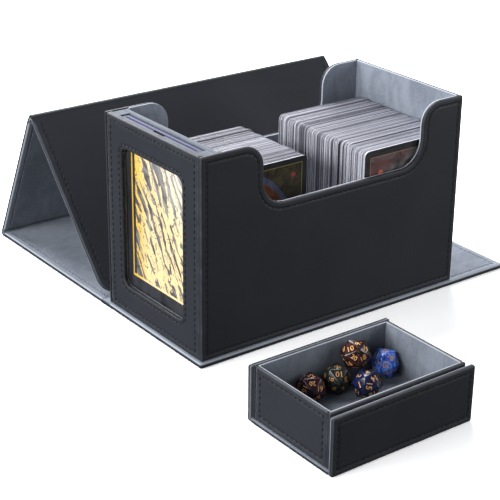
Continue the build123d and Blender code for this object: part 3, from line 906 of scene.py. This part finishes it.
def deck(side, mats, random_source):
    """A row of single cards, each a little higher, lower or to the side of the next."""
    body = f"{side}_deck"
    low, high = corners(f"{body}_cards")
    front_low, front_high = corners(f"{body}_front_card")
    count = int((high.y - front_high.y) / CARD_PITCH)
    pitch = (high.y - front_high.y) / count
    middle = (front_low.x + front_high.x) / 2
    outline = rectangle((-CARD[0] / 2, 0), (CARD[0] / 2, CARD[1]), CARD_RADIUS)
    heights = (0.0, CARD_BEVEL, CARD_THICKNESS - CARD_BEVEL, CARD_THICKNESS)
    insets = (CARD_BEVEL, 0.0, 0.0, CARD_BEVEL)
    shapes = []
    shift, rise, tone = 0.0, 0.0, FIRST_TONE
    for index in range(count):
        if random_source.random() < PACKET_CHANCE:
            shift = random_source.uniform(*PACKET_SHIFT)
            rise = random_source.uniform(*PACKET_RISE)
            tone = random_source.uniform(*PACKET_TONE)
        lift = max(0.0, rise + random_source.uniform(*CARD_RISE))
        across = shift + random_source.uniform(*CARD_SHIFT)
        shade = min(1.0, max(0.0, tone + random_source.uniform(*CARD_TONE)))
        y = front_high.y + pitch * (index + 1)
        where = place((middle + across, y, low.z + lift), (1, 0, 0), UP)
        shapes.append(plate(outline, [(*step, shade) for step in zip(insets, heights)], where))
    stands_for = [f"{body}_cards"]
    mesh_piece(f"{body}_single_cards", joined(shapes), mats["cards"], body, stands_for, mark="tone")


# ---------------------------------------------------------------- the folding cover


def hinge_places():
    """Each hinge's point on the middle plane of the cover, from the joints."""
    low, high = corners("back_panel_leather")
    middle = (low.x + high.x) / 2
    points = {}
    for joint in frame["joints"]:
        if joint["type"] == "hinge":
            at = Vector(joint["pos_m"]) / MM
            points[joint["name"]] = Vector((middle, at.y, at.z))
    return points


def panel_frame(origin, angle):
    """u along the hinge, v away from it, and h towards the suede side."""
    return place(origin, (1, 0, 0), (0, math.cos(angle), math.sin(angle)))


def cover_panel(name, body, where, v_span, hinges, corner, mats):
    """One panel: leather outside, suede inside, stitched together along its free sides."""
    box_low, box_high = corners(f"{name}_leather")
    middle = where.translation.x
    low = (box_low.x - middle, v_span[0])
    high = (box_high.x - middle, v_span[1])
    outline = panel_outline(low, high, hinges, corner)
    cut = hinge_steps(outline(0), low, high, hinges)
    divide = -COVER / 2 + SKIN_SHARE
    skin = plate(outline, wrapped(-COVER / 2, divide, PANEL_SEAM, 1.0, 0.15), where, cut)
    mesh_piece(f"{name}_skin", skin, mats["leather"], body, [f"{name}_leather"])
    nap = plate(outline, wrapped(COVER / 2, divide, PANEL_SEAM, 0.9, 0.15), where, cut)
    mesh_piece(f"{name}_nap", nap, mats["suede"], body, [f"{name}_suede"])
    runs = free_runs(outline(PANEL_SEAM), cut)
    for row, up, look in (("stitching", -1, "thread"), ("suede_stitching", 1, "grey_thread")):
        height = up * (COVER / 2 - STITCH_SUNK)
        stitches = joined([seam(run, where, height, False, up) for run in runs])
        mesh_piece(f"{name}_{row}", stitches, mats[look], body)


def bend_share(point, fold, start, end):
    low, high = 0.0, 1.0
    line = end - start
    for _ in range(BEND_HALVINGS):
        share = (low + high) / 2
        turned = Matrix.Rotation(share * fold, 2) @ point
        along = min(1.0, max(0.0, (turned - start).dot(line) / line.length_squared))
        if along * along * (3 - 2 * along) > share:
            low = share
        else:
            high = share
    return share


def hinge_strip(name, at, angle, fold, sides, levels, bodies, look, stands_for=()):
    """One layer of a soft hinge, bent round the hinge axis. sides
    gives the left and right ends on the first panel, and then on the second."""
    start = Vector((-HINGE_REACH, 0))
    end = Matrix.Rotation(fold, 2) @ Vector((HINGE_REACH, 0))
    reach = HINGE_REACH + HINGE_OVERLAP
    across = [-reach + 2 * reach * row / HINGE_ROWS for row in range(HINGE_ROWS + 1)]
    section = [Vector((s, levels[0])) for s in across] + [Vector((s, levels[1])) for s in reversed(across)]
    bent = [Matrix.Rotation(bend_share(point, fold, start, end) * fold, 2) @ point for point in section]
    where = place(at, (0, math.cos(angle), math.sin(angle)), (0, -math.sin(angle), math.cos(angle)))
    shares = [flat.x / reach / 2 + 0.5 for flat in section]
    rings = []
    for first, second, inwards in ((sides[0], sides[2], 1), (sides[1], sides[3], -1)):
        ends = [first + (second - first) * share + inwards * HINGE_INSET for share in shares]
        rings.append([where @ Vector((point.x, point.y, x)) for point, x in zip(bent, ends)])
    points, faces, wear_and_highlight = loft(rings, [0.0, 0.0])
    # The strip's two ends are rows of small faces, so that they bend with it.
    del faces[-2:]
    count = len(bent)
    for step in range(HINGE_ROWS):
        other = count - 1 - step
        faces.append((step + 1, step, other, other - 1))
        faces.append((count + step, count + step + 1, count + other - 1, count + other))
    piece = mesh_piece(name, (points, faces, wear_and_highlight), look, None, stands_for, sharp=60)
    ends = [(where @ Vector((point.x, point.y, 0))) * MM for point in (start, end)]
    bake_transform(piece)


def cover(mats):
    """The four panels and the three soft hinges between them."""
    at = hinge_places()
    base, back, ridge = at["base_hinge"], at["back_hinge"], at["ridge_hinge"]
    ranges = {joint["name"]: joint.get("range_deg") for joint in frame["joints"]}
    top_angle = math.atan2(ridge.z - back.z, ridge.y - back.y)
    flap_fold = -math.radians(ranges["ridge_hinge"][0])
    flap_angle = top_angle + flap_fold
    slope = flap_angle - math.pi
    foot = corners("flap_leather")[0].z + COVER / 2 * math.cos(slope)
    flap_end = (ridge.z - foot) / math.sin(slope)
    base_start = corners("base_panel_leather")[0].y - base.y
    back_end = (back - base).length - HINGE_REACH
    top_end = (ridge - back).length - HINGE_REACH
    flat, top, flap = panel_frame(base, 0), panel_frame(back, top_angle), panel_frame(ridge, flap_angle)
    both = ("start", "end")
    panels = (
        ("base_panel", "case", flat, (base_start, -HINGE_REACH), ("end",), PANEL_CORNER),
        ("back_panel", "back_panel", flat, (HINGE_REACH, back_end), both, PANEL_CORNER),
        ("top_panel", "top_panel", top, (HINGE_REACH, top_end), both, PANEL_CORNER),
        ("flap", "flap", flap, (HINGE_REACH, flap_end), ("start",), FLAP_CORNER),
    )
    for panel in panels:
        cover_panel(*panel, mats)
    folds = (("base_hinge", 0.0, 0.0), ("back_hinge", 0.0, top_angle), ("ridge_hinge", top_angle, flap_fold))
    for (name, angle, fold), first, second in zip(folds, panels, panels[1:]):
        skins = (f"{panel[0]}_leather" for panel in (first, second))
        sides = [corner.x - at[name].x for skin in skins for corner in corners(skin)]
        strip = (at[name], angle, fold, sides)
        bodies = (first[1], second[1])
        hinge_strip(f"{name}_leather", *strip, HINGE_LEATHER, bodies, mats["leather"], [f"{name}_strip"])
        hinge_strip(f"{name}_suede", *strip, HINGE_SUEDE, bodies, mats["suede"])


# ---------------------------------------------------------------- the dice tray


def sleeve(mats):
    """The U-shaped sleeve: a bottom and two upright flaps, leather outside and suede inside."""
    low, high = corners("sleeve_leather")
    wall = corners("sleeve_front_board")[1].y - low.y + SLEEVE_LINING
    half, height = (high.x - low.x) / 2, high.z - low.z
    middle = (low.x + high.x) / 2
    divide = wall * SLEEVE_NAP
    bottom_span = (-high.y + wall, -low.y - wall)
    faces = (
        ("front", (middle, low.y + wall, low.z), (1, 0, 0), UP, (0, height), ["sleeve_leather"]),
        ("back", (middle, high.y - wall, low.z), (-1, 0, 0), UP, (0, height), ["sleeve_lining"]),
        ("bottom", (middle, 0, low.z + wall), (1, 0, 0), (0, -1, 0), bottom_span, []),
    )
    for side, origin, u, v, span, stands_for in faces:
        where = place(origin, u, v)
        outline = rectangle((-half, span[0]), (half, span[1]), SLEEVE_CORNER)
        steps = wrapped(wall, divide, TRAY_SEAM, 0.9, 0.1)
        name = f"sleeve_{side}"
        stitched_plate(name, outline, steps, where, TRAY_SEAM, wall, mats, "sleeve", stands_for)
        nap = plate(outline, brushed(wrapped(0, divide, 0, 0.5, 0.1)), where)
        mesh_piece(f"{name}_nap", nap, mats["tray_suede"], "sleeve")


def tray(mats):
    """The tray: four leather walls and a bottom, lined with suede."""
    low, high = corners("tray_leather")
    size = high - low
    middle = (low + high) / 2
    short = size.y - 2 * TRAY_WALL
    inner = size.x / 2 - TRAY_WALL
    walls = (
        ("front", (middle.x, low.y + TRAY_WALL, low.z), (1, 0, 0), size.x / 2, inner),
        ("back", (middle.x, high.y - TRAY_WALL, low.z), (-1, 0, 0), size.x / 2, inner),
        ("left", (low.x + TRAY_WALL, middle.y, low.z), (0, -1, 0), short / 2, short / 2),
        ("right", (high.x - TRAY_WALL, middle.y, low.z), (0, 1, 0), short / 2, short / 2),
    )
    for side, origin, u, half, lining_half in walls:
        name = f"tray_{side}"
        where = place(origin, u, UP)
        outline = rectangle((-half, 0), (half, size.z))
        steps = wrapped(TRAY_WALL, TRAY_RIM, TRAY_SEAM, 0.8, 0.2)
        leather, lining = (["tray_leather"], ["tray_lining"]) if side == "front" else ([], [])
        stitched_plate(name, outline, steps, where, TRAY_SEAM, TRAY_WALL, mats, "tray", leather)
        outline = rectangle((-lining_half, TRAY_FOOT), (lining_half, size.z - RIM_STEP), 0.4)
        # The lining's rim is painted paler, a painted highlight.
        shape = plate(outline, brushed(wrapped(-TRAY_LINING, TRAY_RIM, 0, 0.3, 0.1), 1.0), where)
        mesh_piece(f"{name}_suede", shape, mats["tray_suede"], "tray", lining)
    where = place((middle.x, middle.y, low.z + TRAY_WALL), (1, 0, 0), (0, -1, 0))
    outline = rectangle((-inner, -short / 2), (inner, short / 2))
    shape = plate(outline, wrapped(TRAY_WALL, 0, 0, 0.5, 0.2), where)
    mesh_piece("tray_bottom_skin", shape, mats["leather"], "tray")
    tray_cushion(low, high, mats)


def tray_cushion(low, high, mats):
    """The padded floor: a thin crowned cushion whose edge tucks in at the walls."""
    base = corners("tray_floor_pad")[1].z - CUSHION_SUNK
    columns, rows = CUSHION
    wall = TRAY_WALL + TRAY_LINING
    upper = []
    for row in range(rows + 1):
        for column in range(columns + 1):
            u, v = column / columns, row / rows
            x = low.x + wall + (high.x - low.x - 2 * wall) * u
            y = low.y + wall + (high.y - low.y - 2 * wall) * v
            rise = (1 - (2 * u - 1) ** 6) * (1 - (2 * v - 1) ** 6)
            upper.append(Vector((x, y, base + CUSHION_RISE - CUSHION_CROWN * (1 - rise))))
    count = len(upper)
    points = upper + [Vector((point.x, point.y, base)) for point in upper]
    faces = grid_faces(columns, rows)
    faces += [tuple(count + index for index in reversed(face)) for face in faces]
    size = columns + 1
    rim = [*range(columns), *range(columns, rows * size + columns, size)]
    rim += [*range(rows * size + columns, rows * size, -1), *range(rows * size, 0, -size)]
    for here, there in zip(rim, rim[1:] + rim[:1]):
        faces.append((here, count + here, count + there, there))
    shape = (points, faces, [0.0] * len(points))
    piece = mesh_piece("tray_floor_cushion", shape, mats["tray_suede"], "tray")


# ---------------------------------------------------------------- the dice


def numeral_meshes():
    """Filled outlines of the numbers 1 to 20, each centred on its origin, as (points, faces, marks)."""
    meshes = []
    for number in range(1, 21):
        curve = bpy.data.curves.new(f"numeral_{number}", "FONT")
        curve.body = f"{number}." if number in (6, 9) else str(number)
        curve.extrude = 0.008
        curve.offset = 0.014
        curve.resolution_u = 3
        text = bpy.data.objects.new(f"numeral_{number}", curve)
        mesh = bpy.data.meshes.new_from_object(text)
        points = [Vector(vertex.co) for vertex in mesh.vertices]
        low, high = (Vector([end(values) for values in zip(*points)]) for end in (min, max))
        scale = min(NUMERAL[0] / (high.x - low.x), NUMERAL[1] / (high.y - low.y))
        middle = (low + high) / 2
        faces = [tuple(polygon.vertices) for polygon in mesh.polygons]
        meshes.append(([(point - middle) * scale for point in points], faces, [0.0] * len(points)))
        bpy.data.objects.remove(text)
        bpy.data.meshes.remove(mesh)
    return meshes


def die(name, material, gold, numerals):
    """A bevelled twenty-sided die with a number on each face."""
    low, high = corners(name)
    centre = (low + high) / 2
    level_low, level_high = corners(LEVEL_DIE)
    radius = (level_high.z - level_low.z) / 2 / FACE_DOWN
    turn_z, tilt_x, shift = DIE_TURNS[name]
    lean = Matrix.Rotation(math.radians(tilt_x), 3, "X")
    waist = GOLDEN * FACE_REACH
    waist_z = math.sqrt(1 - waist**2)
    face, ring = (FACE_DOWN, FACE_REACH), (waist_z, waist)
    layers = ((-1, *face, 0), (-1, *ring, 60), (1, *ring, 0), (1, *face, 60))
    form = bmesh.new()
    for side, level, reach, turn in layers:
        for step in range(3):
            angle = math.radians(turn_z + turn + 120 * step)
            corner = Vector((reach * math.cos(angle), reach * math.sin(angle), side * level))
            form.verts.new(lean @ corner * radius)
    bmesh.ops.convex_hull(form, input=form.verts)
    form.normal_update()
    sides = [(face.calc_center_median(), face.normal.copy(), face.verts[0].co.copy()) for face in form.faces]
    bmesh.ops.bevel(form, geom=form.edges[:], offset=DIE_BEVEL, segments=3, profile=0.5, affect="EDGES")
    form.verts.index_update()
    points = [centre + vertex.co for vertex in form.verts]
    faces = [tuple(vertex.index for vertex in face.verts) for face in form.faces]
    form.free()
    body = f"{name}_body"
    shape = (points, faces, [0.0] * len(points))
    mesh_piece(f"{name}_resin", shape, (material, name), body, [name], sharp=24)
    left = [(face + shift) % 20 for face in range(20)]
    shapes = []
    for number in range(1, 11):
        side = left.pop(0)
        across = min(left, key=lambda other: sides[other][1].dot(sides[side][1]))
        left.remove(across)
        for face, value in ((side, number), (across, 21 - number)):
            middle, normal, corner = sides[face]
            up = (corner - middle).normalized()
            where = place(centre + middle + normal * NUMERAL_LIFT, up.cross(normal), up)
            numeral, numeral_faces, wear_and_highlight = numerals[value - 1]
            shapes.append(([where @ point for point in numeral], numeral_faces, wear_and_highlight))
    mesh_piece(f"{name}_numerals", joined(shapes), (gold, name), body, sharp=40)


def dice():
    """The five dice, each of its own resin."""
    numerals = numeral_meshes()
    gold = gold_ink()
    for name in DIE_TURNS:
        die(name, resin(name.removesuffix("_die")), gold, numerals)


# ---------------------------------------------------------------- nodes kept, floor, lights and camera


def dress(nodes, material):
    """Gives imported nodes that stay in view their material."""
    for name in nodes:
        node = frame["nodes"][name]
        if not node.material_slots:
            node.data.materials.append(material)
        for material_slot in node.material_slots:
            material_slot.material = material


def keep_nodes(mats):
    """Boards, pads, magnets, film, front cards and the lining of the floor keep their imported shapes."""
    dress([name for name in frame["nodes"] if name.endswith(("_board", "_boards"))], greyboard())
    dress(["floor_lining"], mats["suede"][0])
    dress(["pocket_spacers"], mats["pocket_suede"][0])
    dress(["front_wall_magnets", "flap_magnets"], steel())
    dress(["tray_floor_pad"], foam())
    dress(["window_wall_film"], clear_film())
    dress(["display_card"], display_print())
    dress(["left_deck_front_card"], left_print())
    dress(["right_deck_front_card"], right_print())


def studio_floor():
    """A wide pale floor under the object."""
    mesh = bpy.data.meshes.new("studio_floor")
    lines = [FLOOR_REACH * (2 * step / FLOOR_STEPS - 1) for step in range(FLOOR_STEPS + 1)]
    points = [(x, y, FLOOR_Z) for y in lines for x in lines]
    mesh.from_pydata(points, [], grid_faces(FLOOR_STEPS, FLOOR_STEPS))
    mesh.materials.append(floor_paint())
    floor = linked("studio_floor", mesh)
    # The floor takes light and shadow, but sends no light back up onto the object.
    floor.visible_diffuse = False
    floor.visible_glossy = False


def studio_light():
    """Soft light from above and behind, a softer one from the left, a weak one in front, and a dim room."""
    world = bpy.data.worlds.new("studio")
    world.use_nodes = True
    background = world.node_tree.nodes["Background"]
    background.inputs["Color"].default_value = ROOM_COLOUR
    background.inputs["Strength"].default_value = ROOM_STRENGTH
    bpy.context.scene.world = world
    for name, location, aim, size, power in SOFTBOXES:
        light = bpy.data.lights.new(name, "AREA")
        light.shape = "RECTANGLE"
        light.size, light.size_y = size
        light.energy = power
        lamp = linked(name, light)
        lamp.location = location
        lamp.rotation_euler = (Vector(aim) - Vector(location)).to_track_quat("-Z", "Y").to_euler()
    bpy.context.scene.view_settings.view_transform = "Standard"


def camera():
    """The camera, a little rolled."""
    azimuth, elevation, roll = (math.radians(angle) for angle in CAMERA_ANGLES)
    flat = math.cos(elevation)
    back = Vector((math.sin(azimuth) * flat, -math.cos(azimuth) * flat, math.sin(elevation)))
    right = (-back).cross(UP).normalized()
    up = back.cross(right)
    turned_right = right * math.cos(roll) + up * math.sin(roll)
    turned_up = up * math.cos(roll) - right * math.sin(roll)
    data = bpy.data.cameras.new("camera")
    data.sensor_width = 36
    data.lens = CAMERA_LENS
    data.clip_start = 0.01
    eye = linked("camera", data)
    turn = Matrix((turned_right, turned_up, back)).transposed().to_4x4()
    eye.matrix_world = Matrix.Translation(CAMERA_PLACE) @ turn
    bpy.context.scene.camera = eye


def build():
    """Makes every piece, then the stage."""
    mats = {
        "leather": (leatherette(), "black_leatherette"),
        "thread": (thread("black_thread", (0.006, 0.006, 0.008)), "black_leatherette"),
        "suede": (suede("grey_suede", 1.0), "grey_suede"),
        # Darker copies of the same suede for the display pocket and the tray: painted shade.
        "pocket_suede": (suede("pocket_suede", 0.55), "grey_suede"),
        "tray_suede": (suede("tray_suede", 0.8), "grey_suede"),
        "grey_thread": (thread("grey_thread", (0.15, 0.17, 0.20)), "grey_suede"),
        "holder_clear": (holder_clear(), "holder_plastic"),
        "holder_edge": (holder_edge(), "holder_plastic"),
        "cards": (card_stock(), "card_stock"),
    }
    camera()
    for side, outward in (("front", (0, -1, 0)), ("back", (0, 1, 0)), ("end", (1, 0, 0))):
        lined_wall(side, outward, mats)
    window_wall(mats)
    pocket_wall(mats)
    holder(mats)
    random_source = random.Random(7)
    deck("left", mats, random_source)
    deck("right", mats, random_source)
    cover(mats)
    sleeve(mats)
    tray(mats)
    dice()
    keep_nodes(mats)
    studio_floor()
    studio_light()


build()
